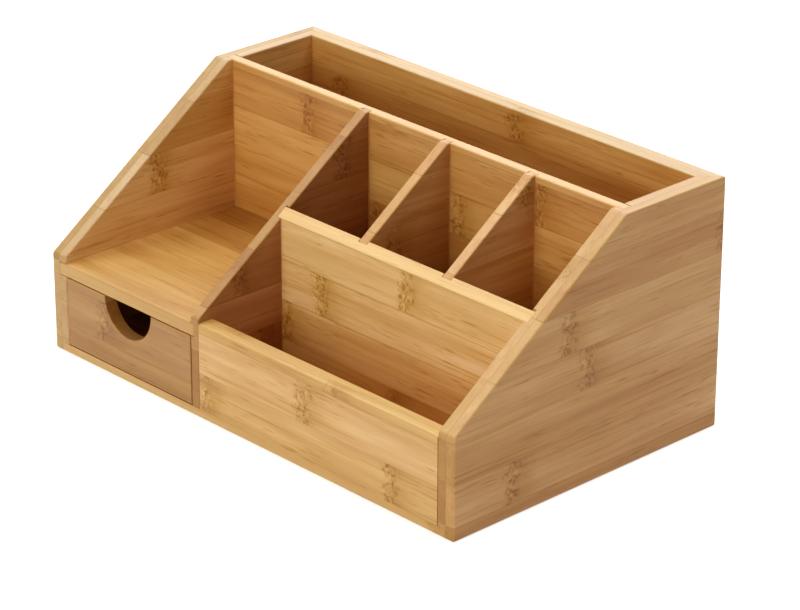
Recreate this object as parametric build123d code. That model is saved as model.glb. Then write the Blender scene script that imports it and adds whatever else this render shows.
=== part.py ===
"""Desk organizer of glued bamboo boards with one drawer, one STEP file per board.

Millimetres, +X to the right, +Y to the back, +Z up. The origin is on the ground, in the middle of
the case. The boards of the case are glued in grooves, and the drawer slides on the base board.
"""

import os

from build123d import *

# Outside of the case.
case_width = 245.0
case_depth = 150.0
case_height = 110.0
front_height = 44.5  # upright front edge of the sides, below their slope
flat_top_depth = 57.5  # level top of the sides, behind their slope
inner_flat_top = 1.5  # level top of the partition and the dividers, behind their slope

# Thickness of the boards.
side_thickness = 9.0
back_thickness = 9.0
front_board_thickness = 8.0
wall_thickness = 5.0  # slot wall, centre partition, cross wall and dividers
shelf_thickness = 6.0
base_thickness = 4.0

# Room between the boards.
slot_room = 41.0  # letter slot, from the back panel to the slot wall
compartment_depth = 44.5  # small compartments, from the slot wall to the cross wall
compartment_width = 43.5  # each small compartment but the last, which takes the rest
divider_count = 2
drawer_bay_width = 81.6
drawer_bay_height = 31.8
front_board_height = 38.5  # above the base board

# Joinery.
outer_groove_depth = 4.0  # seats of the base, the slot wall and the shelf in the outer boards
inner_groove_depth = 2.0  # seats of the cross wall, and all grooves in the inner boards
glue_line = 0.08  # glue film between a board and each face of its seat

# Rounded edges.
case_arris_radius = 0.9  # outside edges of the finished case
slope_top_radius = 3.0  # where the slope of the sides runs into their level top
inner_top_radius = 0.8  # the same on the partition and the dividers
slope_foot_radius = 2.0  # where the slope runs into the upright front edge
board_arris_radius = 0.6  # free edges of the inner boards
nosing_radius = 1.2  # top front edge of the shelf and of the front board

# Drawer.
drawer_front_thickness = 6.0
drawer_side_thickness = 5.0
drawer_back_thickness = 5.0
drawer_bottom_thickness = 3.0
drawer_side_height = 27.0
drawer_rebate_depth = 3.0  # seats of the sides in the back of the drawer front
drawer_groove_depth = 2.5  # grooves for the drawer's bottom and back
drawer_bottom_lift = 2.5  # from the lower edge of the sides up to the bottom
drawer_back_inset = 4.0  # from the rear end of the sides forward to the drawer's back
notch_radius = 15.0  # half-round finger notch in the top edge of the drawer front
drawer_arris_radius = 0.4  # front edges of the drawer front and its notch
drawer_gap = 0.4  # running gap round the drawer front
drawer_slide_gap = 0.2  # running gap between the drawer sides and the base board
drawer_rear_gap = 2.0  # from the closed drawer back to the slot wall

# Faces of the case, from left to right, front to back and bottom to top.
outer_x = case_width / 2
inner_x = outer_x - side_thickness
groove_end_x = inner_x + outer_groove_depth
partition_left_x = -inner_x + drawer_bay_width
partition_right_x = partition_left_x + wall_thickness
front_y = -case_depth / 2
rear_y = case_depth / 2
slope_top_y = rear_y - flat_top_depth
back_panel_y = rear_y - back_thickness
slot_wall_rear_y = back_panel_y - slot_room
slot_wall_front_y = slot_wall_rear_y - wall_thickness
cross_wall_rear_y = slot_wall_front_y - compartment_depth
cross_wall_front_y = cross_wall_rear_y - wall_thickness
inner_slope_top_y = slot_wall_front_y - inner_flat_top
board_foot_z = base_thickness + glue_line
shelf_bottom_z = base_thickness + drawer_bay_height
shelf_top_z = shelf_bottom_z + shelf_thickness

# Faces of the drawer.
drawer_left_x = -inner_x + drawer_gap
drawer_right_x = partition_left_x - drawer_gap
drawer_front_rear_y = front_y + drawer_front_thickness
drawer_rear_y = slot_wall_front_y - drawer_rear_gap
drawer_back_rear_y = drawer_rear_y - drawer_back_inset
drawer_back_front_y = drawer_back_rear_y - drawer_back_thickness
drawer_front_top_z = shelf_bottom_z - drawer_gap
drawer_side_bottom_z = base_thickness + drawer_slide_gap
drawer_side_top_z = drawer_side_bottom_z + drawer_side_height
drawer_bottom_z = drawer_side_bottom_z + drawer_bottom_lift
drawer_bottom_top_z = drawer_bottom_z + drawer_bottom_thickness


def block(x, y, z):
    """A rectangular block between the two values of each of x, y and z."""
    sizes = (x[1] - x[0], y[1] - y[0], z[1] - z[0])
    return Pos(x[0], y[0], z[0]) * Box(*sizes, align=(Align.MIN, Align.MIN, Align.MIN))


def grown(span, margin=glue_line):
    """The two values of a span, moved apart by the margin at each end."""
    return (span[0] - margin, span[1] + margin)


def rounded_outline(corners):
    """A face in Y and Z from corners (y, z, radius), each rounded by its radius."""
    outline = make_face(Polyline(*[(y, z) for y, z, radius in corners], close=True))
    for y, z, radius in corners:
        if radius:
            corner = outline.vertices().sort_by_distance((y, z))[0]
            outline = fillet(corner, radius)
    return outline


def along_x(outline, x):
    """A solid with an outline in Y and Z, between the two values of x."""
    return extrude(Plane.YZ.offset(x[0]) * outline, x[1] - x[0])


def sloped_outline(top_y, top_radius):
    """An upright front edge, the slope up to top_y, a level top and an upright back."""
    return rounded_outline(
        [
            (front_y, 0, 0),
            (rear_y, 0, 0),
            (rear_y, case_height, 0),
            (top_y, case_height, top_radius),
            (front_y, front_height, slope_foot_radius),
        ]
    )


def side_outline():
    """The outline of the sides."""
    return sloped_outline(slope_top_y, slope_top_radius)


def inner_outline():
    """The outline of the partition and the dividers, before their ends are cut."""
    return sloped_outline(inner_slope_top_y, inner_top_radius)


def slope_height(y):
    """Height of the inner walls' slope at y."""
    rise = (case_height - front_height) / (inner_slope_top_y - front_y)
    return front_height + rise * (y - front_y)


def case_envelope():
    """The finished outside of the case, which every outer board is sanded to."""
    envelope = along_x(side_outline(), (-outer_x, outer_x))
    end_edges = envelope.faces().filter_by(Axis.X).edges()
    long_edges = envelope.edges().filter_by(Axis.X)
    square_corners = [(0, front_y, 0), (0, rear_y, 0), (0, rear_y, case_height)]
    square_edges = [long_edges.sort_by_distance(corner)[0] for corner in square_corners]
    return fillet(end_edges + square_edges, case_arris_radius)


def sloped_board(outline, x):
    """A board with a sloped outline between the two values of x, its edges eased."""
    board = along_x(outline, x)
    return fillet(board.faces().filter_by(Axis.X).edges(), board_arris_radius)


def behind_mitre(side):
    """The space behind the mitre of the left (-1) or right (1) back corner."""
    run = 2 * case_width
    rise = run * back_thickness / side_thickness
    plan = Polyline(
        (side * outer_x, rear_y),
        (side * (outer_x - run), rear_y - rise),
        (side * (outer_x - run), rear_y + rise),
        (side * (outer_x + run), rear_y + rise),
        close=True,
    )
    return extrude(Plane.XY.offset(-case_height) * make_face(plan), 3 * case_height)


def case_side(side):
    """The left (-1) or right (1) side, with its seats for the base and the slot wall."""
    board_x = sorted((side * inner_x, side * (outer_x + side_thickness)))
    seat_x = sorted((side * inner_x, side * groove_end_x))
    base_seat = block(seat_x, (front_y, rear_y), (0, board_foot_z))
    slot_wall_seat = block(
        seat_x, grown((slot_wall_front_y, slot_wall_rear_y)), (0, case_height)
    )
    board = (sloped_board(side_outline(), board_x) & case_envelope()) - behind_mitre(side)
    return board - base_seat - slot_wall_seat


def left_side():
    """The left side, also grooved for the drawer shelf."""
    shelf_seat = block(
        (-groove_end_x, -inner_x),
        (front_y, slot_wall_front_y),
        grown((shelf_bottom_z, shelf_top_z)),
    )
    return case_side(-1) - shelf_seat


def right_side():
    """The right side, also grooved for the cross wall."""
    cross_wall_seat = block(
        (inner_x, inner_x + inner_groove_depth),
        grown((cross_wall_front_y, cross_wall_rear_y)),
        (0, case_height),
    )
    return case_side(1) - cross_wall_seat


def back_panel():
    """The back panel, mitred to both sides and rebated for the base board."""
    outline = rounded_outline(
        [
            (back_panel_y, 0, 0),
            (rear_y, 0, 0),
            (rear_y, case_height, 0),
            (back_panel_y, case_height, board_arris_radius),
        ]
    )
    base_seat = block(
        (-outer_x, outer_x),
        (back_panel_y, back_panel_y + outer_groove_depth),
        (0, board_foot_z),
    )
    panel = along_x(outline, (-outer_x, outer_x)) & case_envelope()
    for side in (-1, 1):
        panel &= Pos(0, glue_line, 0) * behind_mitre(side)
    return panel - base_seat


def base_board():
    """The floor of the case, in the rebates of the sides and the back panel."""
    end_x = groove_end_x - glue_line
    end_y = back_panel_y + outer_groove_depth - glue_line
    return block((-end_x, end_x), (front_y, end_y), (0, base_thickness)) & case_envelope()


def divider_spans():
    """The two values of x of each divider, from left to right."""
    pitch = compartment_width + wall_thickness
    first = partition_right_x + compartment_width
    return [
        (first + n * pitch, first + n * pitch + wall_thickness) for n in range(divider_count)
    ]


def slot_wall():
    """The front wall of the letter slot, grooved for the partition and the dividers."""
    outline = rounded_outline(
        [
            (slot_wall_front_y, board_foot_z, 0),
            (slot_wall_rear_y, board_foot_z, 0),
            (slot_wall_rear_y, case_height, board_arris_radius),
            (slot_wall_front_y, case_height, board_arris_radius),
        ]
    )
    wall = along_x(outline, grown((-groove_end_x, groove_end_x), -glue_line))
    for span in [(partition_left_x, partition_right_x), *divider_spans()]:
        seat_y = (slot_wall_front_y, slot_wall_front_y + inner_groove_depth)
        wall -= block(grown(span), seat_y, (0, case_height))
    return wall


def centre_partition():
    """The wall between the drawer side and the tray side, grooved for the shelf and cross wall."""
    rear_end = slot_wall_front_y + inner_groove_depth - glue_line
    span = (partition_left_x, partition_right_x)
    shelf_seat = block(
        (partition_left_x, partition_left_x + inner_groove_depth),
        (front_y, slot_wall_front_y),
        grown((shelf_bottom_z, shelf_top_z)),
    )
    cross_wall_seat = block(
        (partition_right_x - inner_groove_depth, partition_right_x),
        grown((cross_wall_front_y, cross_wall_rear_y)),
        (0, case_height),
    )
    board = sloped_board(inner_outline(), span)
    board &= block(span, (front_y, rear_end), (board_foot_z, case_height))
    return board - shelf_seat - cross_wall_seat


def cross_wall():
    """The wall between the small compartments and the front tray, planed to the slope."""
    outline = rounded_outline(
        [
            (cross_wall_front_y, board_foot_z, 0),
            (cross_wall_rear_y, board_foot_z, 0),
            (cross_wall_rear_y, slope_height(cross_wall_rear_y), board_arris_radius),
            (cross_wall_front_y, slope_height(cross_wall_front_y), board_arris_radius),
        ]
    )
    seat_depth = inner_groove_depth - glue_line
    wall = along_x(outline, grown((partition_right_x, inner_x), seat_depth))
    for span in divider_spans():
        seat_y = (cross_wall_rear_y - inner_groove_depth, cross_wall_rear_y)
        wall -= block(grown(span), seat_y, (0, case_height))
    return wall


def divider(span):
    """A wall between two small compartments, with the partition's slope along its top."""
    front_end = cross_wall_rear_y - inner_groove_depth + glue_line
    rear_end = slot_wall_front_y + inner_groove_depth - glue_line
    board = sloped_board(inner_outline(), span)
    return board & block(span, (front_end, rear_end), (board_foot_z, case_height))


def drawer_shelf():
    """The floor of the open bay, over the drawer."""
    rear_end = slot_wall_front_y - glue_line
    outline = rounded_outline(
        [
            (front_y, shelf_bottom_z, board_arris_radius),
            (rear_end, shelf_bottom_z, 0),
            (rear_end, shelf_top_z, 0),
            (front_y, shelf_top_z, nosing_radius),
        ]
    )
    ends = (-groove_end_x + glue_line, partition_left_x + inner_groove_depth - glue_line)
    return along_x(outline, ends)


def front_board():
    """The front of the tray, between the centre partition and the right side."""
    rear_face = front_y + front_board_thickness
    top = board_foot_z + front_board_height
    outline = rounded_outline(
        [
            (front_y, board_foot_z, 0),
            (rear_face, board_foot_z, 0),
            (rear_face, top, board_arris_radius),
            (front_y, top, nosing_radius),
        ]
    )
    return along_x(outline, grown((partition_right_x, inner_x), -glue_line))


def drawer_front():
    """The drawer's front, with its finger notch, side rebates and groove for the bottom."""
    span_x = (drawer_left_x, drawer_right_x)
    board = block(
        span_x,
        (front_y, drawer_front_rear_y),
        (base_thickness + drawer_gap, drawer_front_top_z),
    )
    notch = Cylinder(notch_radius, 3 * drawer_front_thickness, rotation=(90, 0, 0))
    board -= Pos(sum(span_x) / 2, front_y, drawer_front_top_z) * notch
    board = fillet(board.faces().sort_by(Axis.Y)[0].edges(), drawer_arris_radius)
    rebate_y = (drawer_front_rear_y - drawer_rebate_depth, drawer_front_rear_y)
    for rebate_x in (
        (drawer_left_x, drawer_left_x + drawer_side_thickness),
        (drawer_right_x - drawer_side_thickness, drawer_right_x),
    ):
        board -= block(grown(rebate_x), rebate_y, (0, case_height))
    groove_y = (drawer_front_rear_y - drawer_groove_depth, drawer_front_rear_y)
    return board - block(span_x, groove_y, grown((drawer_bottom_z, drawer_bottom_top_z)))


def drawer_side(side):
    """The drawer's left (-1) or right (1) side, grooved for its bottom and back."""
    outer_face, inward = (drawer_left_x, 1) if side < 0 else (drawer_right_x, -1)
    inner_face = outer_face + inward * drawer_side_thickness
    groove_x = sorted((inner_face - inward * drawer_groove_depth, inner_face))
    front_end = drawer_front_rear_y - drawer_rebate_depth + glue_line
    board = block(
        sorted((outer_face, inner_face)),
        (front_end, drawer_rear_y),
        (drawer_side_bottom_z, drawer_side_top_z),
    )
    free_edges = board.edges().filter_by(Axis.Y).sort_by(Axis.Z)[2:]
    board = fillet(free_edges, board_arris_radius)
    board -= block(
        groove_x,
        (front_end, drawer_back_rear_y),
        grown((drawer_bottom_z, drawer_bottom_top_z)),
    )
    return board - block(
        groove_x,
        grown((drawer_back_front_y, drawer_back_rear_y)),
        (drawer_bottom_z, case_height),
    )


def drawer_ends_x():
    """The two values of x at the bottom of the grooves of the drawer's sides."""
    depth = drawer_side_thickness - drawer_groove_depth + glue_line
    return (drawer_left_x + depth, drawer_right_x - depth)


def drawer_back():
    """The drawer's back, on its bottom and between its sides."""
    outline = rounded_outline(
        [
            (drawer_back_front_y, drawer_bottom_top_z + glue_line, 0),
            (drawer_back_rear_y, drawer_bottom_top_z + glue_line, 0),
            (drawer_back_rear_y, drawer_side_top_z, board_arris_radius),
            (drawer_back_front_y, drawer_side_top_z, board_arris_radius),
        ]
    )
    return along_x(outline, drawer_ends_x())


def drawer_bottom():
    """The drawer's thin bottom, in the grooves of its front and sides and under its back."""
    front_end = drawer_front_rear_y - drawer_groove_depth + glue_line
    return block(
        drawer_ends_x(),
        (front_end, drawer_back_rear_y - glue_line),
        (drawer_bottom_z, drawer_bottom_top_z),
    )


boards = {
    "left_side": left_side(),
    "right_side": right_side(),
    "back_panel": back_panel(),
    "base_board": base_board(),
    "slot_wall": slot_wall(),
    "centre_partition": centre_partition(),
    "cross_wall": cross_wall(),
    "drawer_shelf": drawer_shelf(),
    "front_board": front_board(),
    "drawer_front": drawer_front(),
    "drawer_left_side": drawer_side(-1),
    "drawer_right_side": drawer_side(1),
    "drawer_back": drawer_back(),
    "drawer_bottom": drawer_bottom(),
}
for number, span in enumerate(divider_spans(), 1):
    boards[f"divider_{number}"] = divider(span)

os.makedirs("parts", exist_ok=True)
for name, board in boards.items():
    export_step(board, f"parts/{name}.step")
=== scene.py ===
"""Boards, glue, studio and camera of a bamboo desk organizer with one drawer.

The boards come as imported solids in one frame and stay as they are. Each gets a bamboo finish that
runs through its whole thickness, as in the real board: staves glued edge to edge, in one ply or in
two, each with its own tone and its own knuckles. Geometry Nodes run the fillets of cured glue along
the inside corners. Lengths are millimetres, and metres where a name or its docstring says so.
"""

import logging
import math
import random
from dataclasses import dataclass
from enum import Enum
from functools import cached_property

import bpy
from mathutils import Matrix, Vector


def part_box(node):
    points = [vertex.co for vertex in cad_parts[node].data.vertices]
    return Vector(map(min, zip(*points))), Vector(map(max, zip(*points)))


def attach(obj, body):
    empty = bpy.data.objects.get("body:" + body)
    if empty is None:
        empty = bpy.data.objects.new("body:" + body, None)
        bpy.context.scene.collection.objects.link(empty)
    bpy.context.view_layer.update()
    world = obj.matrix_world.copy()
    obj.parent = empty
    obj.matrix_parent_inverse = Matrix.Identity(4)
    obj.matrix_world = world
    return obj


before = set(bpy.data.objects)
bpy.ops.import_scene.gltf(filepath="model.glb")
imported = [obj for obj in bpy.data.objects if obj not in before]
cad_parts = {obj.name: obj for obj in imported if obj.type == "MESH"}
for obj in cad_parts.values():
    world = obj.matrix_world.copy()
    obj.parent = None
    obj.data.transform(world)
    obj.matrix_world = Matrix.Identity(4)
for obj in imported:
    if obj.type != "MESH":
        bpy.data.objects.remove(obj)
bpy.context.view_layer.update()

MM = 0.001
MATH = "ShaderNodeMath"
VECTOR_MATH = "ShaderNodeVectorMath"
RANGE = "ShaderNodeMapRange"
MIX = "ShaderNodeMix"
NOISE = "ShaderNodeTexNoise"
SMOOTH = {"interpolation_type": "SMOOTHSTEP"}
# Most of a noise lies between these levels. The closer they are, the further it is spread.
WIDE_LEVELS = (0.25, 0.75)
TONE_LEVELS = (0.28, 0.72)
NARROW_LEVELS = (0.3, 0.7)

Tree = bpy.types.NodeTree
Socket = bpy.types.NodeSocket
Place = tuple[float, float, float]
Colour = tuple[float, float, float, float]
Span = tuple[float, float]

log = logging.getLogger("organizer")


def linear(hex_colour: str) -> Colour:
    """Turns an sRGB colour to the linear values that a shader takes.

    Args:
        hex_colour: The colour as "#RRGGBB".

    Returns:
        Linear red, green and blue, and an alpha of 1.
    """
    shares = [int(hex_colour[n : n + 2], 16) / 255 for n in (1, 3, 5)]
    red, green, blue = [
        share / 12.92 if share <= 0.04045 else ((share + 0.055) / 1.055) ** 2.4 for share in shares
    ]
    return (red, green, blue, 1.0)


def add_node(
    tree: Tree,
    kind: str,
    *values: object,
    named: dict[str, object] | None = None,
    **settings: object,
) -> Socket | None:
    """Adds a node with its settings, and sets or links its inputs.

    Args:
        tree: The tree that gets the node.
        kind: Blender's name of the node's type.
        *values: A number, colour, vector or output for each input in use, in their order. None
            leaves an input as it is.
        named: The same for inputs by their names.
        **settings: The node's own properties.

    Returns:
        The first output in use, or None on a node that has no output.
    """
    node = tree.nodes.new(kind)
    for name, value in settings.items():
        setattr(node, name, value)
    in_use = [socket for socket in node.inputs if socket.enabled]
    pairs = list(zip(in_use, values))
    pairs += [(node.inputs[name], value) for name, value in (named or {}).items()]
    for socket, value in pairs:
        if isinstance(value, Socket):
            tree.links.new(value, socket)
        elif value is not None:
            socket.default_value = value
    return next((socket for socket in node.outputs if socket.enabled), None)


def put(name: str, data: bpy.types.ID) -> bpy.types.Object:
    """Puts an object into the scene.

    Args:
        name: Its name.
        data: Its mesh, lamp or camera.

    Returns:
        The object.
    """
    placed = bpy.data.objects.new(name, data)
    bpy.context.scene.collection.objects.link(placed)
    return placed


class Grain(Enum):
    """The axes that a board's fibres run along, its staves lie across and its plies lie through."""

    CROSSWISE_UPRIGHT = "XZY"
    LENGTHWISE_UPRIGHT = "YZX"
    CROSSWISE_FLAT = "XYZ"

    @property
    def axes(self) -> tuple[int, int, int]:
        """The numbers of the three axes."""
        return tuple("XYZ".index(letter) for letter in self.value)


@dataclass(frozen=True)
class Stave:
    """One strip of bamboo in a board.

    Attributes:
        tone: From 0, dark, to 1, pale.
        warmth: From 0, straw yellow, to 1, rosy brown.
        knuckles: Where its joints of the culm lie along the grain, at most two.
    """

    tone: float = 0.5
    warmth: float = 0.5
    knuckles: tuple[float, ...] = ()


def laid(*staves: tuple[float, ...]) -> tuple[Stave, ...]:
    """Lists staves from the tone, warmth and knuckles of each, the lowest first."""
    return tuple(Stave(tone, warmth, tuple(knuckles)) for tone, warmth, *knuckles in staves)


MIXED_TONES = (0.2, 0.8)
MIXED_WARMTHS = (0.1, 0.9)
MIXED_KNUCKLES = (-120.0, 120.0)


def mixed_staves(seed: int, count: int = 7) -> tuple[Stave, ...]:
    """Staves in the mixed order that a press is loaded in, with a knuckle on most.

    Args:
        seed: Which order.
        count: How many staves.

    Returns:
        The staves, from the lowest to the highest across the board.
    """
    draw = random.Random(seed).uniform
    return tuple(
        Stave(draw(*MIXED_TONES), draw(*MIXED_WARMTHS), (draw(*MIXED_KNUCKLES),))
        for _ in range(count)
    )


@dataclass(frozen=True)
class Board:
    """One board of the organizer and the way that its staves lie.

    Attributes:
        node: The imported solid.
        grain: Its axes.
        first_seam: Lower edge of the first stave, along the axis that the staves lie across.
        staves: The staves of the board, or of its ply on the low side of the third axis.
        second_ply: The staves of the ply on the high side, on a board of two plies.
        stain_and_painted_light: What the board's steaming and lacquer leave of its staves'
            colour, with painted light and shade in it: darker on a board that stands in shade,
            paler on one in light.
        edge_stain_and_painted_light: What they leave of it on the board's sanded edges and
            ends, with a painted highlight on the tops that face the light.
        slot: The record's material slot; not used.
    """

    node: str
    grain: Grain
    first_seam: float
    staves: tuple[Stave, ...]
    second_ply: tuple[Stave, ...] = ()
    stain_and_painted_light: str = "#FFFFFF"
    edge_stain_and_painted_light: str = "#FFFFFF"
    slot: str = "case_bamboo"

    @property
    def ply_seam(self) -> float:
        """Where the glue between its two plies lies, half-way through the board."""
        low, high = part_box(self.node)
        through = self.grain.axes[2]
        return (low[through] + high[through]) / 2 / MM


@dataclass(frozen=True)
class Pattern:
    """One noise of the bamboo's figure.

    Attributes:
        cell: Size of its cells along, across and through the stave.
        detail: How many finer layers lie over the first.
        distortion: How far its cells are twisted out of line.
        layer_strength: How strong each finer layer is beside the one before it.
    """

    cell: tuple[float, float, float]
    detail: float
    distortion: float = 0.0
    layer_strength: float = 0.55

    def draw(self, tree: Tree, place: Socket) -> Socket:
        """Adds the noise.

        Args:
            tree: The tree that gets it.
            place: The place along, across and through the stave.

        Returns:
            The noise.
        """
        scale = tuple(1 / size for size in self.cell)
        spot = add_node(tree, VECTOR_MATH, place, scale, operation="MULTIPLY")
        levels = {
            "Detail": self.detail,
            "Roughness": self.layer_strength,
            "Distortion": self.distortion,
        }
        return add_node(tree, NOISE, spot, 1.0, named=levels)


@dataclass(frozen=True)
class Mask:
    """A mask that is cut out of one noise.

    Attributes:
        pattern: Name of the noise.
        start: Level of the noise at which the mask starts to change.
        full: Level of the noise from which on it is 1.
        least: What it is before the start.
    """

    pattern: str
    start: float
    full: float
    least: float = 0.0

    def cut(self, tree: Tree, noises: dict[str, Socket]) -> Socket:
        """Adds the mask, cut out of one of the figure's noises."""
        level = noises[self.pattern]
        return add_node(tree, RANGE, level, self.start, self.full, self.least, 1.0, **SMOOTH)


# The bundles of moso are 0.3 to 0.5 across, and are drawn no finer than shows. At a knuckle they
# twist across the stave.
PATTERNS = {
    "drift": Pattern((70.0, 9.0, 8.0), 2.0),
    "band": Pattern((110.0, 3.6, 3.6), 2.0),
    "streak": Pattern((60.0, 1.3, 1.3), 1.0),
    "fibre": Pattern((14.0, 0.45, 0.45), 2.0),
    "dash": Pattern((11.0, 0.65, 0.65), 1.0),
    "crowd": Pattern((34.0, 6.0, 6.0), 1.0),
    "wander": Pattern((7.0, 4.0, 4.0), 1.0),
    "mottle": Pattern((2.2, 2.9, 2.0), 1.0, 1.1),
}
MASKS = {
    "dark spots": Mask("mottle", 0.52, 0.66),
    "pale spots": Mask("mottle", 0.46, 0.32),
    "fibre dots": Mask("fibre", 0.52, 0.66),
    "long lines": Mask("streak", 0.56, 0.78),
    "dashes": Mask("dash", 0.56, 0.72),
    "crowding": Mask("crowd", 0.46, 0.64, 0.08),
    "seam stretches": Mask("drift", 0.4, 0.62, 0.25),
}
# Marks that are the product of two others: dashes crowd in places and are rare in others, and a
# seam is nearly lost in some stretches.
PRODUCTS = (
    ("dark mottle", "dark spots", "knuckle"),
    ("pale mottle", "pale spots", "knuckle"),
    ("end dots", "fibre dots", "end grain"),
    ("calm lines", "long lines", "calm"),
    ("calm crowding", "crowding", "calm"),
    ("crowded dashes", "dashes", "calm crowding"),
    ("seam", "seam line", "seam stretches"),
)
TONE_SWINGS = {"drift": 0.13, "band": 0.07, "fibre": 0.03}  # share that each noise takes or adds
MARK_SHADES = {  # the same for each mark
    "bloom": -0.24,
    "knuckle": -0.1,
    "calm lines": -0.23,
    "crowded dashes": -0.32,
    "end dots": -0.1,
    "seam": -0.36,
    "pale mottle": 0.26,
    "dark mottle": -0.42,
}
MARK_RELIEFS = {  # how high sanding leaves each, as soft wood goes lower than hard bundles
    "pale mottle": 0.1,
    "dark mottle": -0.1,
    "crowded dashes": -0.02,
    "seam": -0.04,
    "band": -0.05,
}
PLACE_INPUTS = ("Along", "Across", "Through")
STAVE_INPUTS = ("Stave", "Tone", "Warmth", "First Knuckle", "Second Knuckle", "Seam Distance")
FACE_INPUTS = ("Edge", "End Grain")


@dataclass(frozen=True)
class FigureDraft:
    """The group of the bamboo's figure while it is drawn.

    Attributes:
        tree: Its tree.
        given: Its inputs.
        noises: Its noises by their names.
    """

    tree: Tree
    given: bpy.types.bpy_prop_collection
    noises: dict[str, Socket]


@dataclass(frozen=True)
class LacqueredBamboo:
    """Moso bamboo, steam-browned, glued up from staves, planed, sanded and lacquered satin.

    The steam gives a honey tone between straw and rosy brown. Planing shows the fibre bundles as
    fine lines along the stave, as dots on its end grain, and as a mottled band at each knuckle,
    with a brown bloom on one side. Thin satin lacquer gives a soft, wide gloss.

    Attributes:
        straw: Colour of a stave that was steamed little.
        rosy: Colour of a stave that was steamed long.
        tone_range: What a stave's tones of 0 and of 1 make of its brightness.
        deepening: How fast each primary falls as the wood gets darker.
        rosiness_swing: How much rosier the darker bands and patches are than the pale ones.
        edge_lift_and_painted_highlight: Partly the paler sanded wood and partly a painted
        highlight on the tops that face the light: what a sanded edge makes of the brightness.
        end_shade: What an end makes of it.
        edge_calm: Share of the figure's contrast that a sanded edge or end loses.
        edge_turn: Where a rounded edge starts and ends to turn from the stave's face to its edge.
        end_turn: The same for an end.
        stave_width: Width of a stave.
        stave_shift: How far along the culm each stave is cut from the one below it.
        ply_shift: By how many staves the figure of a second ply is ahead of the first's.
        seam_half_width: Half of the dark line along a seam, four times its real width.
        knuckle_half_width: Half of a knuckle's band.
        knuckle_fade: Where the band starts and ends to fade, in half widths.
        knuckle_wander: How far the band strays to each side.
        knuckle_range: What the shares of 0 and 1 on a ply's ramp stand for.
        bloom_length: How far the bloom reaches from its knuckle.
        roughness: The lacquer's roughness on hard and on soft streaks.
        mottle_roughness: What the open fibres of a knuckle add to it.
        coat_weight: How much of the lacquer lies on the wood as a clear film.
        coat_roughness: That film's roughness.
        lacquer_ior: The lacquer's index of refraction.
    """

    straw: str = "#F7C584"
    rosy: str = "#F1B77E"
    tone_range: Span = (0.66, 1.18)
    deepening: tuple[float, float, float] = (0.8, 1.22, 2.8)
    rosiness_swing: float = 0.3
    edge_lift_and_painted_highlight: float = 1.1
    end_shade: float = 0.9
    edge_calm: float = 0.6
    edge_turn: Span = (0.1, 0.45)
    end_turn: Span = (0.62, 0.85)
    stave_width: float = 18.0
    stave_shift: float = 61.7
    ply_shift: float = 11.0
    seam_half_width: float = 0.3
    knuckle_half_width: float = 5.5
    knuckle_fade: Span = (0.3, 1.2)
    knuckle_wander: float = 2.2
    knuckle_range: Span = (-150.0, 150.0)
    bloom_length: float = 18.0
    roughness: Span = (0.42, 0.54)
    mottle_roughness: float = 0.08
    coat_weight: float = 0.12
    coat_roughness: float = 0.38
    lacquer_ior: float = 1.5

    @cached_property
    def figure(self) -> Tree:
        """The group that draws a stave's figure from its place in the board.

        Its outputs are the colour, the roughness and the relief in millimetres. It is built once.
        """
        tree = bpy.data.node_groups.new("bamboo_figure", "ShaderNodeTree")
        for name in (*PLACE_INPUTS, *STAVE_INPUTS, *FACE_INPUTS):
            tree.interface.new_socket(name, in_out="INPUT", socket_type="NodeSocketFloat")
        for name, kind in (("Colour", "Color"), ("Roughness", "Float"), ("Relief", "Float")):
            tree.interface.new_socket(name, in_out="OUTPUT", socket_type=f"NodeSocket{kind}")
        given = tree.nodes.new("NodeGroupInput").outputs

        # Each stave is cut from another length of culm, so its figure starts somewhere else.
        shift = add_node(tree, MATH, given["Stave"], self.stave_shift, operation="MULTIPLY")
        along = add_node(tree, MATH, given["Along"], shift)
        place = add_node(tree, "ShaderNodeCombineXYZ", along, given["Across"], given["Through"])
        noises = {name: pattern.draw(tree, place) for name, pattern in PATTERNS.items()}
        draft = FigureDraft(tree, given, noises)
        marks = self.marks(draft)

        colour = self.colour(draft, marks)
        gloss = add_node(tree, RANGE, noises["streak"], *NARROW_LEVELS, *self.roughness)
        rough = (marks["dark mottle"], self.mottle_roughness, gloss)
        roughness = add_node(tree, MATH, *rough, operation="MULTIPLY_ADD")
        relief = 0.0
        layers = noises | marks
        for name, height in MARK_RELIEFS.items():
            terms = (layers[name], height, relief)
            relief = add_node(tree, MATH, *terms, operation="MULTIPLY_ADD")
        add_node(tree, "NodeGroupOutput", colour, roughness, relief)
        return tree

    def knuckle(self, draft: FigureDraft) -> tuple[Socket, Socket]:
        """Adds the band of the nearer knuckle, which wanders a little, and its bloom.

        Args:
            draft: The figure's group.

        Returns:
            The band's and the bloom's mask.
        """
        tree, given, noises = draft.tree, draft.given, draft.noises
        reach = self.knuckle_wander
        wander = add_node(tree, RANGE, noises["wander"], *WIDE_LEVELS, -reach, reach)
        wandered = add_node(tree, MATH, given["Along"], wander)
        first, second = (
            add_node(tree, MATH, wandered, given[name], operation="SUBTRACT")
            for name in ("First Knuckle", "Second Knuckle")
        )
        gaps = [add_node(tree, MATH, past, operation="ABSOLUTE") for past in (second, first)]
        second_nearer = add_node(tree, MATH, *gaps, operation="LESS_THAN")
        past = add_node(tree, MIX, second_nearer, first, second)
        gap = add_node(tree, MATH, past, operation="ABSOLUTE")
        half = self.knuckle_half_width
        start, end = (share * half for share in self.knuckle_fade)
        band = add_node(tree, RANGE, gap, start, end, 1.0, 0.0, **SMOOTH)
        onset = add_node(tree, RANGE, past, -half, half, 0.0, 1.0, **SMOOTH)
        fade = add_node(tree, RANGE, past, 0.0, self.bloom_length, 1.0, 0.0, **SMOOTH)
        return band, add_node(tree, MATH, onset, fade, operation="MULTIPLY")

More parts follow.
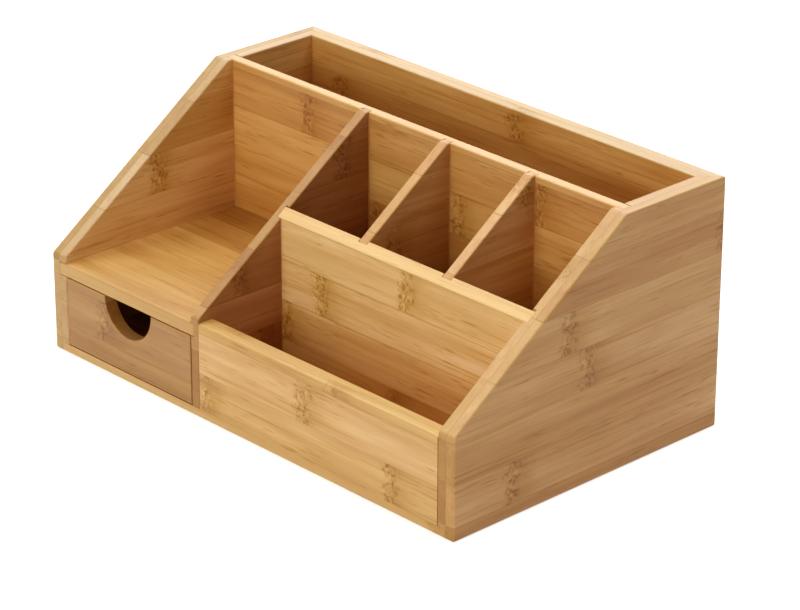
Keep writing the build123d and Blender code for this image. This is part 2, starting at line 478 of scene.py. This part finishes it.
    def marks(self, draft: FigureDraft) -> dict[str, Socket]:
        """Adds the marks of the figure: knuckle, bloom, mottle, lines, dashes, dots and seam.

        Args:
            draft: The figure's group.

        Returns:
            The marks as masks from 0 to 1, and what they are made of, by their names.
        """
        tree, given = draft.tree, draft.given
        # A sanded edge or end shows little of the figure.
        sanded = add_node(tree, MATH, given["Edge"], given["End Grain"], operation="MAXIMUM")
        calm = add_node(tree, RANGE, sanded, 0.0, 1.0, 1.0, 1 - self.edge_calm)
        band, bloom = self.knuckle(draft)
        seam = (given["Seam Distance"], 0.0, self.seam_half_width, 1.0, 0.0)
        marks = {name: mask.cut(tree, draft.noises) for name, mask in MASKS.items()}
        marks["calm"] = calm
        marks["bloom"] = bloom
        marks["knuckle"] = add_node(tree, MATH, band, calm, operation="MULTIPLY")
        marks["end grain"] = given["End Grain"]
        marks["seam line"] = add_node(tree, RANGE, *seam, **SMOOTH)
        for name, *factors in PRODUCTS:
            pair = [marks[factor] for factor in factors]
            marks[name] = add_node(tree, MATH, *pair, operation="MULTIPLY")
        return marks

    def colour(self, draft: FigureDraft, marks: dict[str, Socket]) -> Socket:
        """Adds the wood's colour: its brightness times a hue between straw and rosy brown.

        Args:
            draft: The figure's group.
            marks: The figure's marks by their names.

        Returns:
            The colour, before the board's stain_and_painted_light.
        """
        tree, given, noises = draft.tree, draft.given, draft.noises
        factors = [add_node(tree, RANGE, given["Tone"], 0.0, 1.0, *self.tone_range)]
        for name, swing in TONE_SWINGS.items():
            change = add_node(tree, RANGE, noises[name], *TONE_LEVELS, -swing, swing)
            terms = (change, marks["calm"], 1.0)
            factors.append(add_node(tree, MATH, *terms, operation="MULTIPLY_ADD"))
        # A sanded edge is made paler, partly as painted highlight on tops that face the light.
        for name, shade in (("Edge", self.edge_lift_and_painted_highlight), ("End Grain", self.end_shade)):
            factors.append(add_node(tree, RANGE, given[name], 0.0, 1.0, 1.0, shade))
        for name, shade in MARK_SHADES.items():
            terms = (marks[name], shade, 1.0)
            factors.append(add_node(tree, MATH, *terms, operation="MULTIPLY_ADD"))
        tone, *others = factors
        for factor in others:
            tone = add_node(tree, MATH, tone, factor, operation="MULTIPLY")

        warmth = given["Warmth"]
        for name in ("band", "drift"):
            swing = self.rosiness_swing
            rosier = add_node(tree, RANGE, noises[name], *NARROW_LEVELS, swing, -swing)
            warmth = add_node(tree, MATH, warmth, rosier)
        hues = (linear(self.straw), linear(self.rosy))
        hue = add_node(tree, MIX, warmth, *hues, data_type="RGBA")
        # Darker wood is redder: its green falls faster than its red, and its blue faster still.
        tones = add_node(tree, VECTOR_MATH, tone, self.deepening, operation="POWER")
        return add_node(tree, VECTOR_MATH, hue, tones, operation="MULTIPLY")

    def ply_ramp(
        self, tree: Tree, staves: tuple[Stave, ...], share: Socket
    ) -> tuple[Socket, Socket]:
        """Adds a ramp whose stops hold the staves of one ply, each from its first seam on.

        Args:
            tree: The material's tree.
            staves: The staves of the ply.
            share: How far across the ply the stave's middle lies, from 0 to 1.

        Returns:
            The ramp's colour, which holds the first knuckle, the tone and the second knuckle, and
            its alpha, which is the warmth.
        """
        colour = add_node(tree, "ShaderNodeValToRGB", share)
        ramp = colour.node.color_ramp
        ramp.interpolation = "CONSTANT"
        low, high = self.knuckle_range
        for number, stave in enumerate(staves):
            position = number / len(staves)
            element = ramp.elements[0] if number == 0 else ramp.elements.new(position)
            element.position = position
            knuckles = (*stave.knuckles, high, high)[:2]
            first, second = ((at - low) / (high - low) for at in knuckles)
            element.color = (first, stave.tone, second, stave.warmth)
        ramp.elements.remove(ramp.elements[-1])
        return colour, colour.node.outputs["Alpha"]

    def laid_staves(
        self, tree: Tree, board: Board, across: Socket, through: Socket
    ) -> dict[str, Socket]:
        """Adds what the board's plan says of the stave at a place.

        Args:
            tree: The material's tree.
            board: The board and its staves.
            across: The place along the axis that the staves lie across.
            through: The place along the axis that the plies lie through.

        Returns:
            The figure's inputs that come from the plan, by their names.
        """
        from_first = add_node(tree, MATH, across, board.first_seam, operation="SUBTRACT")
        staves_up = add_node(tree, MATH, from_first, self.stave_width, operation="DIVIDE")
        stave = add_node(tree, MATH, staves_up, operation="FLOOR")
        middle = add_node(tree, MATH, stave, 0.5)
        count = float(len(board.staves))
        share = add_node(tree, MATH, middle, count, operation="DIVIDE")
        values, warmth = self.ply_ramp(tree, board.staves, share)
        seam = add_node(tree, MATH, from_first, self.stave_width / 2, operation="PINGPONG")
        if board.second_ply:
            upper_values, upper_warmth = self.ply_ramp(tree, board.second_ply, share)
            above = add_node(tree, MATH, through, board.ply_seam, operation="GREATER_THAN")
            values = add_node(tree, MIX, above, values, upper_values, data_type="RGBA")
            warmth = add_node(tree, MIX, above, warmth, upper_warmth)
            stave = add_node(tree, MATH, above, self.ply_shift, stave, operation="MULTIPLY_ADD")
            from_ply = add_node(tree, MATH, through, board.ply_seam, operation="SUBTRACT")
            ply_gap = add_node(tree, MATH, from_ply, operation="ABSOLUTE")
            seam = add_node(tree, MATH, seam, ply_gap, operation="MINIMUM")
        held = add_node(tree, "ShaderNodeSeparateColor", values).node.outputs
        first, second = (
            add_node(tree, RANGE, held[name], 0.0, 1.0, *self.knuckle_range)
            for name in ("Red", "Blue")
        )
        return dict(zip(STAVE_INPUTS, (stave, held["Green"], warmth, first, second, seam)))

    def material(self, board: Board) -> bpy.types.Material:
        """Makes the material of one board.

        Args:
            board: The board and its staves.

        Returns:
            The material, named for the board.
        """
        material = bpy.data.materials.new(f"lacquered_bamboo_{board.node}")
        material.use_nodes = True
        tree = material.node_tree
        tree.nodes.clear()
        coordinates = add_node(tree, "ShaderNodeTexCoord").node.outputs
        scale = (1 / MM,) * 3
        point = add_node(tree, VECTOR_MATH, coordinates["Object"], scale, operation="MULTIPLY")
        place = add_node(tree, "ShaderNodeSeparateXYZ", point).node.outputs
        normal = add_node(tree, "ShaderNodeSeparateXYZ", coordinates["Normal"]).node.outputs
        along, across, through = (place[axis] for axis in board.grain.axes)
        inputs = dict(zip(PLACE_INPUTS, (along, across, through)))
        lengthwise, sideways = (
            add_node(tree, MATH, normal[axis], operation="ABSOLUTE")
            for axis in board.grain.axes[:2]
        )
        end_grain = add_node(tree, RANGE, lengthwise, *self.end_turn, 0.0, 1.0)
        edge = add_node(tree, RANGE, sideways, *self.edge_turn, 0.0, 1.0)
        inputs |= self.laid_staves(tree, board, across, through)
        inputs |= dict(zip(FACE_INPUTS, (edge, end_grain)))
        drawn = add_node(tree, "ShaderNodeGroup", named=inputs, node_tree=self.figure).node.outputs

        sanded = add_node(tree, MATH, edge, end_grain, operation="MAXIMUM")
        # These colours hold painted light and shade besides the board's own, on edges a painted
        # highlight.
        stains_and_painted_light = (linear(board.stain_and_painted_light), linear(board.edge_stain_and_painted_light))
        stain_and_painted_light = add_node(tree, MIX, sanded, *stains_and_painted_light, data_type="RGBA")
        stained_with_painted_light = add_node(tree, VECTOR_MATH, drawn["Colour"], stain_and_painted_light, operation="MULTIPLY")
        relief = {"Strength": 1.0, "Distance": MM, "Height": drawn["Relief"]}
        lacquer = {
            "Base Color": stained_with_painted_light,
            "Roughness": drawn["Roughness"],
            "IOR": self.lacquer_ior,
            "Normal": add_node(tree, "ShaderNodeBump", named=relief),
            "Coat Weight": self.coat_weight,
            "Coat Roughness": self.coat_roughness,
        }
        surface = add_node(tree, "ShaderNodeBsdfPrincipled", named=lacquer)
        add_node(tree, "ShaderNodeOutputMaterial", surface)
        return material

    def dress(self, board: Board) -> None:
        """Gives a board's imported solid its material, in every slot that it has.

        Args:
            board: The board and its staves.
        """
        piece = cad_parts[board.node]
        material = self.material(board)
        if not piece.material_slots:
            piece.data.materials.append(material)
        for slot in piece.material_slots:
            slot.material = material
        log.info("%s: %d staves a ply", board.node, len(board.staves))


@dataclass(frozen=True)
class CuredGlue:
    """White wood glue that was squeezed out of a joint, wiped, cured clear and lacquered over.

    It has the honey colour of the bamboo under it, in patches that are deeper where it lies
    thicker, and is a little glossier.

    Attributes:
        tint: Its colour over the bamboo.
        patch_length: Size of a patch.
        patch_detail: How many finer layers lie over the patches.
        patch_shades: What the deepest and the palest patch make of the tint.
        roughness: Roughness of its skin.
        ior: Its index of refraction.
    """

    tint: str = "#D0923E"
    patch_length: float = 9.0
    patch_detail: float = 2.0
    patch_shades: Span = (0.8, 1.05)
    roughness: float = 0.45
    ior: float = 1.47

    def material(self) -> bpy.types.Material:
        """Makes the glue's material.

        Returns:
            The material, for every fillet.
        """
        material = bpy.data.materials.new("cured_wood_glue")
        material.use_nodes = True
        tree = material.node_tree
        tree.nodes.clear()
        coordinates = add_node(tree, "ShaderNodeTexCoord").node.outputs
        scale = 1 / (self.patch_length * MM)
        patches = add_node(tree, NOISE, coordinates["Object"], scale, self.patch_detail)
        shade = add_node(tree, RANGE, patches, *NARROW_LEVELS, *self.patch_shades)
        tint = linear(self.tint)[:3]
        shaded = add_node(tree, VECTOR_MATH, tint, named={"Scale": shade}, operation="SCALE")
        gloss = {"Base Color": shaded, "Roughness": self.roughness, "IOR": self.ior}
        surface = add_node(tree, "ShaderNodeBsdfPrincipled", named=gloss)
        add_node(tree, "ShaderNodeOutputMaterial", surface)
        return material


@dataclass(frozen=True)
class Corner:
    """An inside corner where two faces meet, in metres.

    Attributes:
        start: One end of the corner.
        end: Its other end.
        wall: The direction from the corner along one of the two faces. The other face lies a
            quarter turn from it, anticlockwise seen against the way from start to end.
    """

    start: Vector
    end: Vector
    wall: Vector


@dataclass(frozen=True)
class Room:
    """A box-shaped room between glued boards, in metres.

    Attributes:
        x: Its two ends in X.
        y: Its two ends in Y.
        floor: Height of its floor.
        front_top: Height that its front corners reach, or None where the front is open.
        rear_top: Height that its rear corners reach.
    """

    x: Span
    y: Span
    floor: float
    front_top: float | None
    rear_top: float

    def corners(self) -> list[Corner]:
        """Lists the room's inside corners: along the floor, and upright where walls meet.

        Returns:
            The corners. An open front has none, on the floor or upright.
        """
        left, right = self.x
        front, rear = self.y
        floor = self.floor
        plan = [(left, front), (right, front), (right, rear), (left, rear)]
        points = [Vector((x, y, floor)) for x, y in plan]
        tops = [self.front_top, self.front_top, self.rear_top, self.rear_top]
        inward = [Vector((0, 1, 0)), Vector((-1, 0, 0)), Vector((0, -1, 0)), Vector((1, 0, 0))]
        found = []
        for number in range(4):
            here, following = points[number], points[(number + 1) % 4]
            if number or self.front_top is not None:
                found.append(Corner(here, following, inward[number]))
            if tops[number] is not None:
                top = Vector((here.x, here.y, tops[number]))
                found.append(Corner(here, top, inward[number - 1]))
        return found


@dataclass(frozen=True)
class GlueFillet:
    """Fillets of squeezed-out glue, swept along inside corners by Geometry Nodes.

    Attributes:
        leg: How far the fillet reaches along each face, on average.
        unevenness: Share by which the leg varies along the corner.
        blurs: How often the unevenness is evened out between neighbours.
        step: Length of one straight piece of a fillet.
        sunk: Share of the leg by which the fillet reaches into the boards.
        hollow: Share of the leg that its hollow face stands out from both boards.
        reveal: What a fillet stops short of the top of its boards.
        seed: Which pattern of unevenness.
    """

    leg: float = 0.32
    unevenness: float = 0.45
    blurs: int = 3
    step: float = 2.5
    sunk: float = 0.1
    hollow: float = 0.38
    reveal: float = 1.2
    seed: int = 4

    def tree(self) -> Tree:
        """Builds the tree that turns edges with a wall direction into fillets.

        Returns:
            The tree.
        """
        tree = bpy.data.node_groups.new("glue_fillet", "GeometryNodeTree")
        inputs = {
            "Corners": "Geometry",
            "Leg": "Float",
            "Unevenness": "Float",
            "Step": "Float",
            "Seed": "Int",
            "Material": "Material",
        }
        for name, kind in inputs.items():
            tree.interface.new_socket(name, in_out="INPUT", socket_type=f"NodeSocket{kind}")
        tree.interface.new_socket("Fillets", in_out="OUTPUT", socket_type="NodeSocketGeometry")
        given = tree.nodes.new("NodeGroupInput").outputs

        wall = add_node(tree, "GeometryNodeInputNamedAttribute", "wall", data_type="FLOAT_VECTOR")
        line = add_node(tree, "GeometryNodeMeshToCurve", given["Corners"])
        line = add_node(tree, "GeometryNodeResampleCurve", line, None, given["Step"], mode="LENGTH")
        line = add_node(tree, "GeometryNodeSetCurveNormal", line, None, wall, mode="FREE")
        least = add_node(tree, MATH, 1.0, given["Unevenness"], operation="SUBTRACT")
        most = add_node(tree, MATH, 1.0, given["Unevenness"])
        draw = (least, most, None, given["Seed"])
        swell = add_node(tree, "FunctionNodeRandomValue", *draw, data_type="FLOAT")
        # Blurring turns the draw at each point into slow swellings.
        blur = (swell, self.blurs, 1.0)
        swell = add_node(tree, "GeometryNodeBlurAttribute", *blur, data_type="FLOAT")
        scale = add_node(tree, MATH, swell, given["Leg"], operation="MULTIPLY")

        # The section is a hollow quarter between the two faces. Its corner lies just inside them.
        low, middle = -self.sunk, self.hollow
        corners = ((low, low, 0.0), (1.0, low, 0.0), (middle, middle, 0.0), (low, 1.0, 0.0))
        outline = {f"Point {number}": corner for number, corner in enumerate(corners, 1)}
        shape = "GeometryNodeCurvePrimitiveQuadrilateral"
        section = add_node(tree, shape, named=outline, mode="POINTS")
        fillets = add_node(tree, "GeometryNodeCurveToMesh", line, section, scale, True)
        fillets = add_node(tree, "GeometryNodeRealizeInstances", fillets)
        fillets = add_node(tree, "GeometryNodeSetMaterial", fillets, None, given["Material"])
        add_node(tree, "NodeGroupOutput", fillets)
        return tree

    def build(self, name: str, rooms: list[Room], body: str) -> None:
        """Builds the fillets of one body as one mesh.

        Args:
            name: Name of the piece.
            rooms: The rooms whose inside corners get a fillet.
            body: The body that the piece rides on.
        """
        corners = [corner for room in rooms for corner in room.corners()]
        mesh = bpy.data.meshes.new(f"{name}_corners")
        points = [point for corner in corners for point in (corner.start, corner.end)]
        mesh.from_pydata(points, [(2 * n, 2 * n + 1) for n in range(len(corners))], [])
        walls = mesh.attributes.new("wall", "FLOAT_VECTOR", "POINT")
        parts = [part for corner in corners for _ in range(2) for part in corner.wall]
        walls.data.foreach_set("vector", parts)
        guide = put(f"{name}_guide", mesh)
        tree = self.tree()
        sockets = {item.name: item.identifier for item in tree.interface.items_tree}
        modifier = guide.modifiers.new("glue_fillet", "NODES")
        modifier.node_group = tree
        values = {
            "Leg": self.leg * MM,
            "Unevenness": self.unevenness,
            "Step": self.step * MM,
            "Seed": self.seed,
            "Material": CuredGlue().material(),
        }
        for name_of_input, value in values.items():
            modifier[sockets[name_of_input]] = value
        evaluated = guide.evaluated_get(bpy.context.evaluated_depsgraph_get())
        swept = bpy.data.meshes.new_from_object(evaluated)
        guide.modifiers.remove(modifier)
        bpy.data.objects.remove(guide)
        swept.name = name
        piece = put(name, swept)
        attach(piece, body)
        log.info("%s: %d corners, %d faces", name, len(corners), len(swept.polygons))


WALL_SLOT = "wall_bamboo"
# Each board's colours hold painted light and shade besides its own: in shade darker, in light
# paler.
CASE_BOARDS = (
    Board(
        "right_side", Grain.LENGTHWISE_UPRIGHT, -12.0,
        laid(
            (0.6, 0.4), (0.16, 0.8, 60.0), (0.26, 0.7), (0.55, 0.35, -30.0), (0.7, 0.5, 35.0),
            (0.62, 0.3, -9.0), (0.6, 0.5),
        ),
        laid(
            (0.3, 0.8, 100.0), (0.7, 0.55, -43.0), (0.5, 0.6), (0.68, 0.5, -3.0),
            (0.6, 0.35, -14.0), (0.34, 0.85, 75.0), (0.5, 0.6),
        ),
        stain_and_painted_light="#FCF2D7",
        edge_stain_and_painted_light="#DFDBB7",
    ),
    Board(
        "left_side", Grain.LENGTHWISE_UPRIGHT, -12.0,
        laid(
            (1.0, 0.2), (0.95, 0.2, -20.0), (0.9, 0.1), (0.28, 0.1, 45.0), (0.34, 0.2, 10.0),
            (0.3, 0.3), (0.36, 0.1, 60.0),
        ),
        laid(
            (1.0, 0.4), (1.0, 0.4, 40.0), (0.9, 0.4), (0.8, 0.5, 60.0), (0.92, 0.3, -24.0),
            (0.36, 0.75), (0.66, 0.5),
        ),
        stain_and_painted_light="#E6E2C1",
        edge_stain_and_painted_light="#D2D4BE",
    ),
    Board(
        "back_panel", Grain.CROSSWISE_UPRIGHT, -12.0,
        laid(
            (0.5, 0.5, -80.0), (0.6, 0.4, 10.0), (0.45, 0.5, 90.0), (0.5, 0.6, -40.0),
            (0.6, 0.4, 55.0), (0.4, 0.5, -95.0), (0.5, 0.4, 13.0),
        ),
        mixed_staves(11),
        stain_and_painted_light="#F2EBC3",
        edge_stain_and_painted_light="#DEE7D6",
    ),
    Board(
        "base_board", Grain.CROSSWISE_FLAT, -83.0,
        mixed_staves(17, 9),
        stain_and_painted_light="#E6E2C5",
        edge_stain_and_painted_light="#EAEFCB",
    ),
    Board(
        "slot_wall", Grain.CROSSWISE_UPRIGHT, -1.0,
        laid(
            (0.5, 0.5), (0.5, 0.5, 30.0), (0.3, 0.7, -60.0), (0.55, 0.5, -24.0),
            (0.8, 0.1, 26.0), (0.6, 0.85, -65.0, 72.0), (0.75, 0.3),
        ),
        stain_and_painted_light="#DFCF9B",
        edge_stain_and_painted_light="#E4DBA7",
        slot=WALL_SLOT,
    ),
    Board(
        "centre_partition", Grain.LENGTHWISE_UPRIGHT, -6.0,
        laid(
            (0.5, 0.6), (0.4, 0.7, -40.0), (0.85, 0.5), (0.4, 0.9, -52.0), (0.42, 0.6, 30.0),
            (0.45, 0.8, 5.0), (0.5, 0.7),
        ),
        # Darker than its neighbours partly as painted shade, as it stands in shade.
        stain_and_painted_light="#B59A86",
        edge_stain_and_painted_light="#C7B984",
        slot=WALL_SLOT,
    ),
    Board(
        "cross_wall", Grain.CROSSWISE_UPRIGHT, -14.0,
        laid(
            (0.5, 0.5), (0.32, 0.5, 40.0), (0.46, 0.5, -25.0), (0.72, 0.0, -3.0),
            (0.6, 0.05, 47.0), (0.75, 0.05),
        ),
        # Paler than its neighbours partly as painted light, as it stands in light.
        stain_and_painted_light="#FAFFF0",
        edge_stain_and_painted_light="#F1F2D0",
        slot=WALL_SLOT,
    ),
    Board(
        "divider_1", Grain.LENGTHWISE_UPRIGHT, -8.0,
        # The low staves that show are darker, partly their own tone, partly painted shade deep
        # inside.
        laid(
            (0.5, 0.5), (0.5, 0.5), (0.4, 0.6, 8.0), (0.2, 0.5), (0.4, 0.7, -12.0), (0.55, 0.4),
            (0.5, 0.5),
        ),
        stain_and_painted_light="#D2C3B1",
        edge_stain_and_painted_light="#DDD1A6",
        slot=WALL_SLOT,
    ),
    Board(
        "divider_2", Grain.LENGTHWISE_UPRIGHT, -10.0,
        # The low staves that show are darker, partly their own tone, partly painted shade deep
        # inside.
        laid(
            (0.5, 0.5), (0.5, 0.5, -3.0), (0.5, 0.6), (0.15, 0.5), (0.35, 0.6), (0.65, 0.5),
            (0.65, 0.4, 14.0),
        ),
        stain_and_painted_light="#DCD8D2",
        edge_stain_and_painted_light="#E8E0C3",
        slot=WALL_SLOT,
    ),
    Board(
        "drawer_shelf", Grain.CROSSWISE_FLAT, -86.0,
        # The rear two staves are darker, partly their own tone, partly painted shade at the bay's
        # back.
        laid(
            (0.78, 0.2, -140.0), (0.94, 0.1), (0.74, 0.3), (0.82, 0.0), (0.42, 0.6),
            (0.15, 0.8),
        ),
        stain_and_painted_light="#D5C88F",
        edge_stain_and_painted_light="#D3C996",
    ),
    Board(
        "front_board", Grain.CROSSWISE_UPRIGHT, -15.5,
        laid((0.5, 0.5), (0.5, 0.25, -24.0, 87.0), (0.72, 0.4, 36.0), (0.5, 0.2, 53.0)),
        mixed_staves(23, 4),
        stain_and_painted_light="#F1F2DD",
        edge_stain_and_painted_light="#E7E8BC",
    ),
)


@dataclass(frozen=True)
class Case:
    """The glued case: outer boards, inner walls, shelf and the front board of the tray.

    Attributes:
        slope_foot: Height of the sides' slope at the front.
        slope_top: Height of the sides' level top.
        slope_run: From the front of the case back to the top of the slope.
    """

    slope_foot: float = 44.5
    slope_top: float = 110.0
    slope_run: float = 92.5

    def slope_height(self, y_m: float) -> float:
        """Works out how high the sides stand over a place in Y.

        Args:
            y_m: The place, in metres.

        Returns:
            The height in metres.
        """
        front_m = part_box("right_side")[0].y
        rise = (self.slope_top - self.slope_foot) / self.slope_run
        return min(self.slope_top * MM, self.slope_foot * MM + rise * (y_m - front_m))

    def rooms(self, reveal_m: float) -> list[Room]:
        """Lists the rooms between the boards that are open to the hand.

        Args:
            reveal_m: What their upright corners stop short of the boards' tops, in metres.

        Returns:
            The letter slot, the three small compartments, the tray and the open bay.
        """
        box = {name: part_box(name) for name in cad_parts}
        left, right = box["left_side"][1].x, box["right_side"][0].x
        partition = box["centre_partition"]
        slot_wall = box["slot_wall"]
        cross_wall = box["cross_wall"]
        floor = box["base_board"][1].z
        top = self.slope_top * MM - reveal_m
        front, rear = cross_wall[1].y, slot_wall[0].y
        front_top = self.slope_height(front) - reveal_m
        first, second = box["divider_1"], box["divider_2"]
        faces = [partition[1].x, first[0].x, first[1].x, second[0].x, second[1].x, right]
        compartments = [
            Room((faces[n], faces[n + 1]), (front, rear), floor, front_top, top) for n in (0, 2, 4)
        ]
        slot = Room((left, right), (slot_wall[1].y, box["back_panel"][0].y), floor, top, top)
        tray_front = box["front_board"][1]
        tray_y = (tray_front.y, cross_wall[0].y)
        tray_tops = (tray_front.z - reveal_m, self.slope_height(cross_wall[0].y) - reveal_m)
        tray = Room((partition[1].x, right), tray_y, floor, *tray_tops)
        shelf = box["drawer_shelf"]
        bay = Room((left, partition[0].x), (shelf[0].y, rear), shelf[1].z, None, top)
        return [slot, *compartments, tray, bay]

    def build(self, finish: LacqueredBamboo, glue: GlueFillet) -> None:
        """Dresses the case's boards and runs the glue along its inside corners.

        Args:
            finish: The bamboo.
            glue: The glue fillets.
        """
        for board in CASE_BOARDS:
            finish.dress(board)
        glue.build("case_glue_fillets", self.rooms(glue.reveal * MM), "case")


@dataclass(frozen=True)
class Drawer:
    """The drawer: its front with the finger notch, and the grooved box behind it.

    Attributes:
        slot: The record's material slot of its boards.
        stain_and_painted_light: What steaming and lacquer leave of their staves' colour, with
            painted light and shade in it.
        edge_stain_and_painted_light: What they leave of it on sanded edges and ends, with
            painted light and shade in it.
    """

    slot: str = "drawer_bamboo"
    # Both hold painted light and shade besides what steaming and lacquer leave.
    stain_and_painted_light: str = "#CFCBAA"
    edge_stain_and_painted_light: str = "#D8CEAE"

    def planned_boards(self) -> list[Board]:
        """Lists the drawer's boards, with the staves of each laid in their order.

        Returns:
            The boards.
        """
        front = laid((0.3, 0.7), (0.34, 0.85), (0.36, 0.95, -88.0), (0.4, 0.8))
        plans = (
            ("drawer_front", Grain.CROSSWISE_UPRIGHT, -22.0, front),
            ("drawer_left_side", Grain.LENGTHWISE_UPRIGHT, -8.0, mixed_staves(31, 3)),
            ("drawer_right_side", Grain.LENGTHWISE_UPRIGHT, -14.0, mixed_staves(37, 3)),
            ("drawer_back", Grain.CROSSWISE_UPRIGHT, -2.0, mixed_staves(41, 2)),
            ("drawer_bottom", Grain.CROSSWISE_FLAT, -80.0, mixed_staves(43, 6)),
        )
        return [
            Board(node, grain, seam, staves, (), self.stain_and_painted_light, self.edge_stain_and_painted_light, self.slot)
            for node, grain, seam, staves in plans
        ]

    def room(self, reveal_m: float) -> Room:
        """Finds the room inside the drawer.

        Args:
            reveal_m: What its upright corners stop short of the boards' tops, in metres.

        Returns:
            The room.
        """
        box = {name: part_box(name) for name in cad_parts}
        left, right = box["drawer_left_side"][1].x, box["drawer_right_side"][0].x
        front, rear = box["drawer_front"][1].y, box["drawer_back"][0].y
        top = box["drawer_back"][1].z - reveal_m
        return Room((left, right), (front, rear), box["drawer_bottom"][1].z, top, top)

    def build(self, finish: LacqueredBamboo, glue: GlueFillet) -> None:
        """Dresses the drawer's boards and runs the glue along its inside corners.

        Args:
            finish: The bamboo.
            glue: The glue fillets.
        """
        for board in self.planned_boards():
            finish.dress(board)
        glue.build("drawer_glue_fillets", [self.room(glue.reveal * MM)], "drawer")


@dataclass(frozen=True)
class Softbox:
    """A square diffused lamp.

    Attributes:
        name: Its name.
        place: Where it hangs, in metres.
        power: Its power in watts.
        aim: The point that it faces, in metres.
        width: Its side, in metres.
    """

    name: str
    place: Place
    power: float
    aim: Place = (0.0, 0.0, 0.05)
    width: float = 0.8

    def build(self) -> None:
        """Builds the lamp, turned to its aim."""
        lamp = bpy.data.lights.new(self.name, "AREA")
        lamp.shape = "SQUARE"
        lamp.size = self.width
        lamp.energy = self.power
        stand = put(self.name, lamp)
        stand.location = self.place
        way = Vector(self.aim) - Vector(self.place)
        stand.rotation_mode = "QUATERNION"
        stand.rotation_quaternion = way.to_track_quat("-Z", "Y")
        log.info("lamp %s", self.name)


@dataclass(frozen=True)
class Studio:
    """A plain white table top in even, soft light.

    Attributes:
        table_width_m: Side of the square table top.
        table_white: How light the table is where the lamps light it.
        table_glow: What a view of the table adds, so that it reads white away from the object.
        surround: Strength of the even light from all round.
        lamps: The lamps.
    """

    table_width_m: float = 6.0
    table_white: str = "#EDEDED"
    table_glow: float = 0.62
    surround: float = 0.02
    lamps: tuple[Softbox, ...] = (
        Softbox("over_right", (0.4, 0.5, 1.3), 7.4),
        Softbox("over_left", (-0.8, 0.0, 1.3), 9.8),
        Softbox("front", (0.1, -1.4, 0.9), 5.6),
        Softbox("front_low", (0.1, -1.5, 0.35), 6.6),
        Softbox("back_left", (-0.9, 0.9, 0.7), 5.4),
    )

    def in_view(self, tree: Tree) -> Socket:
        """Adds a number that tells what a view shows from what lights the object.

        Args:
            tree: The tree that gets it.

        Returns:
            The number. It is 1 for what a view, a reflection or a see-through shows.
        """
        rays = add_node(tree, "ShaderNodeLightPath").node.outputs
        seen = rays["Is Camera Ray"]
        for name in ("Is Glossy Ray", "Is Transmission Ray"):
            seen = add_node(tree, MATH, seen, rays[name], operation="MAXIMUM")
        return seen

    def build_table(self) -> None:
        """Builds the table top, which isn't part of the object."""
        half = self.table_width_m / 2
        mesh = bpy.data.meshes.new("table_top")
        square = [(-half, -half, 0), (half, -half, 0), (half, half, 0), (-half, half, 0)]
        mesh.from_pydata(square, [], [(0, 1, 2, 3)])
        material = bpy.data.materials.new("matt_white_paper")
        material.use_nodes = True
        tree = material.node_tree
        tree.nodes.clear()
        paper = add_node(tree, "ShaderNodeBsdfDiffuse", linear(self.table_white))
        seen = self.in_view(tree)
        strength = add_node(tree, MATH, seen, self.table_glow, operation="MULTIPLY")
        glow = add_node(tree, "ShaderNodeEmission", linear("#FFFFFF"), strength)
        both = add_node(tree, "ShaderNodeAddShader", paper, glow)
        add_node(tree, "ShaderNodeOutputMaterial", both)
        mesh.materials.append(material)
        table = put("table_top", mesh)

    def build_surround(self) -> None:
        """Builds the world: white to the eye, and an even light on the object."""
        world = bpy.data.worlds.new("white_room")
        world.use_nodes = True
        tree = world.node_tree
        tree.nodes.clear()
        seen = self.in_view(tree)
        strength = add_node(tree, MIX, seen, self.surround, 1.0)
        background = add_node(tree, "ShaderNodeBackground", linear("#FFFFFF"), strength)
        add_node(tree, "ShaderNodeOutputWorld", background)
        bpy.context.scene.world = world

    def build(self) -> None:
        """Builds the table, the surround and the lamps."""
        self.build_table()
        self.build_surround()
        for lamp in self.lamps:
            lamp.build()
        bpy.context.scene.view_settings.view_transform = "Standard"


@dataclass(frozen=True)
class ProductCamera:
    """The camera, placed round a point of the object.

    Attributes:
        azimuth: Degrees round the object. At 0 it looks along +Y.
        elevation: Degrees above the horizon.
        roll: Degrees that the picture is turned.
        target: The point at the middle of the picture.
        distance: From the target to the lens.
        focal_pixels: Focal length in pixels of the picture.
        picture_width: Width of the picture in pixels.
        sensor_width: Width of the camera's sensor.
        clip_m: Nearest and furthest distance that shows, in metres.
    """

    azimuth: float = 46.544
    elevation: float = 24.176
    roll: float = 0.156
    target: Place = (9.876, 3.240, 39.121)
    distance: float = 1417.134
    focal_pixels: float = 3420.487
    picture_width: float = 800.0
    sensor_width: float = 36.0
    clip_m: Span = (0.01, 100.0)

    def build(self) -> None:
        """Builds the camera and makes it the scene's."""
        azimuth, elevation, roll = (
            math.radians(angle) for angle in (self.azimuth, self.elevation, self.roll)
        )
        flat = math.cos(elevation)
        back = Vector((math.sin(azimuth) * flat, -math.cos(azimuth) * flat, math.sin(elevation)))
        level = Vector((math.cos(azimuth), math.sin(azimuth), 0))
        upright = back.cross(level)
        right = level * math.cos(roll) + upright * math.sin(roll)
        up = upright * math.cos(roll) - level * math.sin(roll)
        lens = bpy.data.cameras.new("product_camera")
        lens.sensor_width = self.sensor_width
        lens.lens = self.focal_pixels * self.sensor_width / self.picture_width
        lens.clip_start, lens.clip_end = self.clip_m
        camera = put("product_camera", lens)
        place = (Vector(self.target) + back * self.distance) * MM
        turn = Matrix((right, up, back)).transposed().to_4x4()
        camera.matrix_world = Matrix.Translation(place) @ turn
        bpy.context.scene.camera = camera


def main() -> None:
    """Builds the finish, the two bodies, the studio and the camera."""
    logging.basicConfig(level=logging.INFO, format="%(name)s: %(message)s")
    ProductCamera().build()
    finish = LacqueredBamboo()
    Case().build(finish, GlueFillet())
    Drawer().build(finish, GlueFillet(seed=9))
    Studio().build()


if __name__ == "__main__":
    main()
